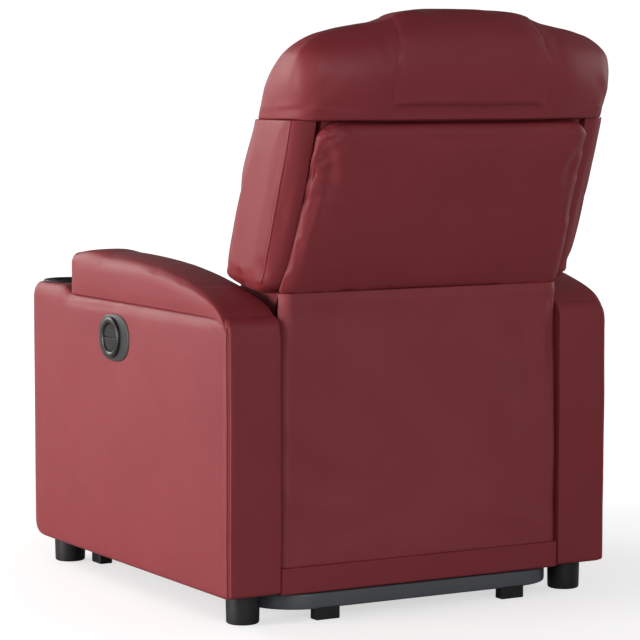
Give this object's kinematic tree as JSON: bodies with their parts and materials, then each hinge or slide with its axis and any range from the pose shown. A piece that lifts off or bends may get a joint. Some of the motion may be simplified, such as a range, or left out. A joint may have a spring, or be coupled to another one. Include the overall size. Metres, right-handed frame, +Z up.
{
  "type": "lift recliner chair",
  "caption": "Padded armchair with a reclining back and a fold-out footrest, on a steel base whose linkage raises the seat and tips it forwards.",
  "frame": {"origin": "on the floor, under the middle of the chair", "axes": "+Z up, -Y the way the sitter faces, +X to the sitter's left"},
  "size_m": [0.7787, 0.966, 1.03],
  "materials": {
    "upholstery": "satin",
    "lining": "matte",
    "steel": "satin",
    "rod_steel": "satin",
    "black_plastic": "matte",
    "control_grey": "satin",
    "plywood": "matte",
    "webbing": "matte"
  },
  "bodies": {
    "base": {"base_rail_left": "steel", "base_rail_right": "steel", "base_rear_bar": "steel", "rear_floor_block_left": "black_plastic", "rear_floor_block_right": "black_plastic", "front_floor_block_left": "black_plastic", "front_floor_block_right": "black_plastic", "lift_motor_bracket": "steel"},
    "lift_arms": {"lift_arm_left": "steel", "lift_arm_right": "steel", "lift_cross_tube": "steel"},
    "front_links": {"front_link_left": "steel", "front_link_right": "steel"},
    "lift_motor_body": {"lift_motor": "black_plastic"},
    "lift_motor_rod": {"lift_rod": "rod_steel"},
    "chair": {"side_plate_left": "steel", "side_plate_right": "steel", "seat_front_rail": "steel", "seat_rear_rail": "steel", "seat_deck": "webbing", "power_box": "black_plastic", "arm_left": "upholstery", "arm_right": "upholstery", "arm_pad_left": "upholstery", "arm_pad_right": "upholstery", "cup_holder_left": "black_plastic", "cup_holder_right": "black_plastic", "front_foot_left": "black_plastic", "front_foot_right": "black_plastic", "rear_foot_left": "black_plastic", "rear_foot_right": "black_plastic", "control_plate": "control_grey", "control_ring": "control_grey", "seat_cushion": "upholstery", "rear_strip": "upholstery", "rear_cover": "lining", "recline_motor": "black_plastic"},
    "raise_button_body": {"raise_button": "control_grey"},
    "lower_button_body": {"lower_button": "control_grey"},
    "backrest": {"back_upright_left": "steel", "back_upright_right": "steel", "back_hinge_tube": "steel", "back_top_rail": "plywood", "back_panel": "upholstery", "back_cushion": "upholstery", "wing_left": "upholstery", "wing_right": "upholstery", "head_side_left": "upholstery", "head_side_right": "upholstery", "head_pillow": "upholstery"},
    "recline_motor_rod": {"recline_rod": "rod_steel"},
    "footrest_lower_links": {"footrest_lower_link_left": "steel", "footrest_lower_link_right": "steel"},
    "footrest_upper_links": {"footrest_upper_link_left": "steel", "footrest_upper_link_right": "steel"},
    "footrest": {"footrest_board": "plywood", "footrest_pad": "upholstery"}
  },
  "joints": [
    {"name": "lift", "type": "hinge", "parent": "base", "child": "lift_arms", "pos_m": [0, -0.14, 0.09], "axis": [1, 0, 0], "range_deg": [0, 60]},
    {"name": "chair_tilt", "type": "hinge", "parent": "lift_arms", "child": "chair", "pos_m": [0, 0.2, 0.122], "axis": [-1, 0, 0], "range_deg": [0, 38]},
    {"name": "front_link_swing", "type": "hinge", "parent": "base", "child": "front_links", "pos_m": [0, -0.228, 0.066], "axis": [1, 0, 0], "range_deg": [0, 70.68]},
    {"name": "lift_motor_swing", "type": "hinge", "parent": "base", "child": "lift_motor_body", "pos_m": [0, 0.2, 0.11], "axis": [1, 0, 0], "range_deg": [0, 5.32]},
    {"name": "lift_rod_slide", "type": "slide", "parent": "lift_motor_body", "child": "lift_motor_rod", "axis": [0, -0.9922, 0.125], "range_m": [0, 0.0499]},
    {"name": "recline", "type": "hinge", "parent": "chair", "child": "backrest", "pos_m": [0, 0.172, 0.33], "axis": [-1, 0, 0], "range_deg": [0, 35], "deforming": ["rear_cover"]},
    {"name": "recline_rod_slide", "type": "slide", "parent": "chair", "child": "recline_motor_rod", "axis": [0, -0.9998, -0.0195], "range_m": [0, 0.0528]},
    {"name": "footrest_fold", "type": "hinge", "parent": "chair", "child": "footrest_lower_links", "pos_m": [0, -0.3, 0.3], "axis": [-1, 0, 0], "range_deg": [0, 65]},
    {"name": "footrest_knee", "type": "hinge", "parent": "footrest_lower_links", "child": "footrest_upper_links", "pos_m": [0, -0.313, 0.151], "axis": [1, 0, 0], "range_deg": [0, 111.6]},
    {"name": "footrest_board_turn", "type": "hinge", "parent": "footrest_upper_links", "child": "footrest", "pos_m": [0, -0.395, 0.34], "axis": [-1, 0, 0], "range_deg": [0, 131.6]},
    {"name": "raise_button_press", "type": "slide", "parent": "chair", "child": "raise_button_body", "axis": [-1, 0, 0], "range_m": [0, 0.0025], "stiffness_N_per_m": 600},
    {"name": "lower_button_press", "type": "slide", "parent": "chair", "child": "lower_button_body", "axis": [-1, 0, 0], "range_m": [0, 0.0025], "stiffness_N_per_m": 600}
  ],
  "couplings": [
    {"joint": "chair_tilt", "follows": "lift", "ratio": 0.63333},
    {"joint": "front_link_swing", "follows": "lift", "ratio": 1.178},
    {"joint": "lift_motor_swing", "follows": "lift", "ratio": 0.088666},
    {"joint": "lift_rod_slide", "follows": "lift", "m_per_rad": 0.04765},
    {"joint": "recline_rod_slide", "follows": "recline", "m_per_rad": 0.086434},
    {"joint": "footrest_knee", "follows": "footrest_fold", "ratio": 1.7169},
    {"joint": "footrest_board_turn", "follows": "footrest_fold", "ratio": 2.0246}
  ]
}
